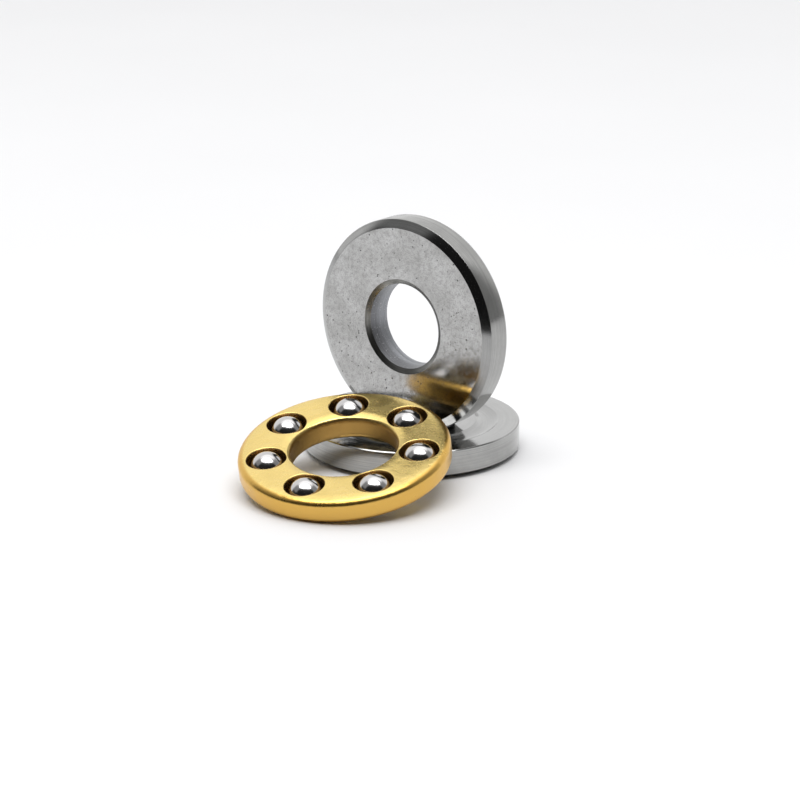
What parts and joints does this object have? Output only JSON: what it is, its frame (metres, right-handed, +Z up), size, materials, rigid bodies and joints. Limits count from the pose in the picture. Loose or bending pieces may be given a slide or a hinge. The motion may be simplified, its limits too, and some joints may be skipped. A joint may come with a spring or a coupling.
{
  "type": "thrust ball bearing",
  "caption": "Miniature single-direction thrust ball bearing laid out apart: two grooved steel washers and a flat brass cage holding loose steel balls.",
  "frame": {"origin": "centre of the housing washer's bore at its seat face, which lies on the table", "axes": "+Z up, out of the housing washer's raceway face and along its bore; +Y away from the front of the layout; +X to the right"},
  "size_m": [0.0128, 0.0159, 0.011],
  "materials": {
    "ground_steel": "lapped seat face, ground rim, turned chamfers",
    "turned_brass": "turned and drilled, deburred edges",
    "ball_steel": "polished ball finish"
  },
  "bodies": {
    "housing_washer": {"housing_washer": "ground_steel"},
    "shaft_washer": {"shaft_washer": "ground_steel"},
    "cage": {"cage": "turned_brass"},
    "ball_1": {"ball_1": "ball_steel"},
    "ball_2": {"ball_2": "ball_steel"},
    "ball_3": {"ball_3": "ball_steel"},
    "ball_4": {"ball_4": "ball_steel"},
    "ball_5": {"ball_5": "ball_steel"},
    "ball_6": {"ball_6": "ball_steel"},
    "ball_7": {"ball_7": "ball_steel"}
  },
  "joints": [
    {"name": "shaft_washer_spin", "type": "hinge", "parent": "housing_washer", "child": "shaft_washer", "pos_m": [0, 0, 0.00595], "axis": [-0.632, -0.7749, 0], "continuous": true},
    {"name": "cage_spin", "type": "hinge", "parent": "housing_washer", "child": "cage", "pos_m": [-0.003, -0.00613, 0.00163], "axis": [-0.0963, -0.2164, 0.9715], "continuous": true},
    {"name": "ball_1_roll", "type": "hinge", "parent": "cage", "child": "ball_1", "pos_m": [-0.00467, -0.00909, 0.0008], "axis": [-0.4779, -0.8462, -0.2358], "continuous": true},
    {"name": "ball_2_roll", "type": "hinge", "parent": "cage", "child": "ball_2", "pos_m": [-0.00165, -0.00931, 0.00105], "axis": [0.3847, -0.9083, -0.1641], "continuous": true},
    {"name": "ball_3_roll", "type": "hinge", "parent": "cage", "child": "ball_3", "pos_m": [0.00035, -0.00713, 0.00174], "axis": [0.9576, -0.2865, 0.0311], "continuous": true},
    {"name": "ball_4_roll", "type": "hinge", "parent": "cage", "child": "ball_4", "pos_m": [-0.00017, -0.0042, 0.00234], "axis": [0.8094, 0.5511, 0.203], "continuous": true},
    {"name": "ball_5_roll", "type": "hinge", "parent": "cage", "child": "ball_5", "pos_m": [-0.00282, -0.00272, 0.00241], "axis": [0.0517, 0.9737, 0.222], "continuous": true},
    {"name": "ball_6_roll", "type": "hinge", "parent": "cage", "child": "ball_6", "pos_m": [-0.00561, -0.00381, 0.00189], "axis": [-0.7449, 0.6631, 0.0738], "continuous": true},
    {"name": "ball_7_roll", "type": "hinge", "parent": "cage", "child": "ball_7", "pos_m": [-0.00643, -0.00664, 0.00117], "axis": [-0.9806, -0.1469, -0.1299], "continuous": true}
  ],
  "couplings": [
    {"joint": "cage_spin", "follows": "shaft_washer_spin", "ratio": 0.5},
    {"joint": "ball_1_roll", "follows": "shaft_washer_spin", "ratio": -2.2047},
    {"joint": "ball_2_roll", "follows": "shaft_washer_spin", "ratio": -2.2047},
    {"joint": "ball_3_roll", "follows": "shaft_washer_spin", "ratio": -2.2047},
    {"joint": "ball_4_roll", "follows": "shaft_washer_spin", "ratio": -2.2047},
    {"joint": "ball_5_roll", "follows": "shaft_washer_spin", "ratio": -2.2047},
    {"joint": "ball_6_roll", "follows": "shaft_washer_spin", "ratio": -2.2047},
    {"joint": "ball_7_roll", "follows": "shaft_washer_spin", "ratio": -2.2047}
  ]
}
